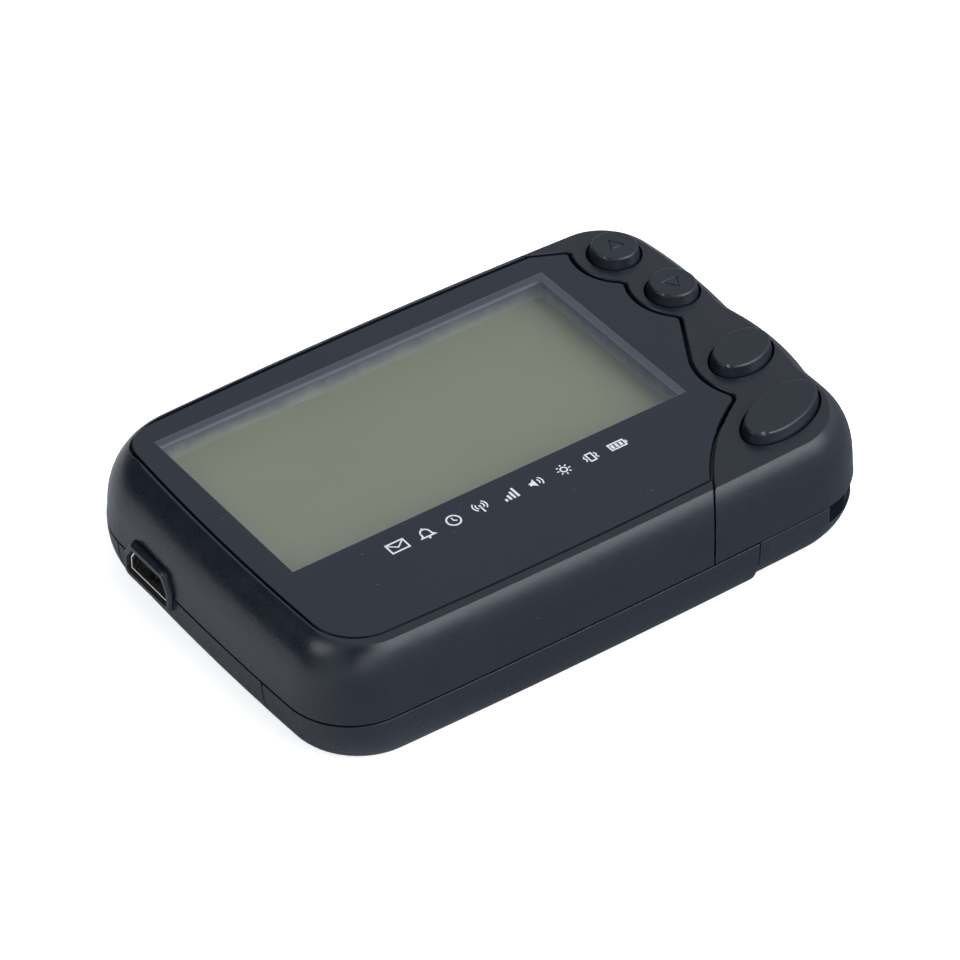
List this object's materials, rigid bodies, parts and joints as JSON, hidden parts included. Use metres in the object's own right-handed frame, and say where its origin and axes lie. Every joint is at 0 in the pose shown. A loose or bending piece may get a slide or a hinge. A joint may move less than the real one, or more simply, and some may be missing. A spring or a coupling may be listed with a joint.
{
  "type": "pager",
  "caption": "Handheld message pager: thin rounded case with a wide display, a scalloped button end, a charging port in one end and a sliding battery cover on the back.",
  "frame": {"origin": "middle of the flat back face", "axes": "+X to the right and +Y up the screen when the display is read, +Z out of the display"},
  "size_m": [0.0851, 0.0566, 0.0182],
  "materials": {
    "case_plastic": "fine satin moulding",
    "key_plastic": "satin",
    "lens": "clear plate with a dark printed border",
    "adhesive": "black foam tape",
    "holder": "white moulding",
    "lcd": "grey-green reflective display",
    "film": "grey-green polarizing film",
    "reflector": "diffusing film",
    "guide": "clear",
    "lamp": "yellow phosphor",
    "silicone": "striped silicone",
    "switch": "moulded",
    "plunger": "ivory",
    "board": "green solder mask",
    "shield": "tinned sheet",
    "chip": "moulded epoxy",
    "can": "nickel plated",
    "copper": "plated copper strip",
    "socket_steel": "nickel plated",
    "socket_plastic": "black moulding",
    "gold": "gold flash",
    "sounder": "black moulding",
    "tungsten": "sintered",
    "shaft_steel": "ground",
    "battery_skin": "dark film wrap",
    "screw_steel": "black zinc plated"
  },
  "bodies": {
    "case": {"front_frame": "case_plastic", "button_panel": "case_plastic", "display_lens": "lens", "lens_adhesive": "adhesive", "lcd_holder": "holder", "lcd_glass": "lcd", "lcd_polarizer": "film", "lcd_reflector": "reflector", "light_guide": "guide", "backlight_lamps": "lamp", "zebra_connector": "silicone", "switch_bodies": "switch", "main_board": "board", "rf_shield": "shield", "ic_packages": "chip", "crystal": "can", "loop_antenna": "copper", "usb_shell": "socket_steel", "usb_insulator": "socket_plastic", "usb_contacts": "gold", "buzzer": "sounder", "motor_can": "can", "motor_clip": "socket_steel", "rear_case": "case_plastic", "battery": "battery_skin", "battery_pads": "gold", "battery_contacts": "gold", "case_screws": "screw_steel", "board_screws": "screw_steel"},
    "up_key": {"up_button": "key_plastic", "up_plunger": "plunger"},
    "down_key": {"down_button": "key_plastic", "down_plunger": "plunger"},
    "read_key": {"read_button": "key_plastic", "read_plunger": "plunger"},
    "menu_key": {"menu_button": "key_plastic", "menu_plunger": "plunger"},
    "alert_rotor": {"motor_shaft": "shaft_steel", "eccentric_weight": "tungsten"},
    "cover": {"battery_cover": "case_plastic"}
  },
  "joints": [
    {"name": "up_press", "type": "slide", "parent": "case", "child": "up_key", "axis": [0, 0, -1], "range_m": [0, 0.00035], "stiffness_N_per_m": 2400, "springref_m": -0.0002},
    {"name": "down_press", "type": "slide", "parent": "case", "child": "down_key", "axis": [0, 0, -1], "range_m": [0, 0.00035], "stiffness_N_per_m": 2400, "springref_m": -0.0002},
    {"name": "read_press", "type": "slide", "parent": "case", "child": "read_key", "axis": [0, 0, -1], "range_m": [0, 0.00035], "stiffness_N_per_m": 2400, "springref_m": -0.0002},
    {"name": "menu_press", "type": "slide", "parent": "case", "child": "menu_key", "axis": [0, 0, -1], "range_m": [0, 0.00035], "stiffness_N_per_m": 2400, "springref_m": -0.0002},
    {"name": "alert_spin", "type": "hinge", "parent": "case", "child": "alert_rotor", "pos_m": [0.0285, -0.0085, 0.005], "axis": [0, 1, 0], "continuous": true},
    {"name": "cover_slide", "type": "slide", "parent": "case", "child": "cover", "axis": [-1, 0, 0], "range_m": [0, 0.02], "stiffness_N_per_m": 6, "springref_m": -0.02}
  ]
}
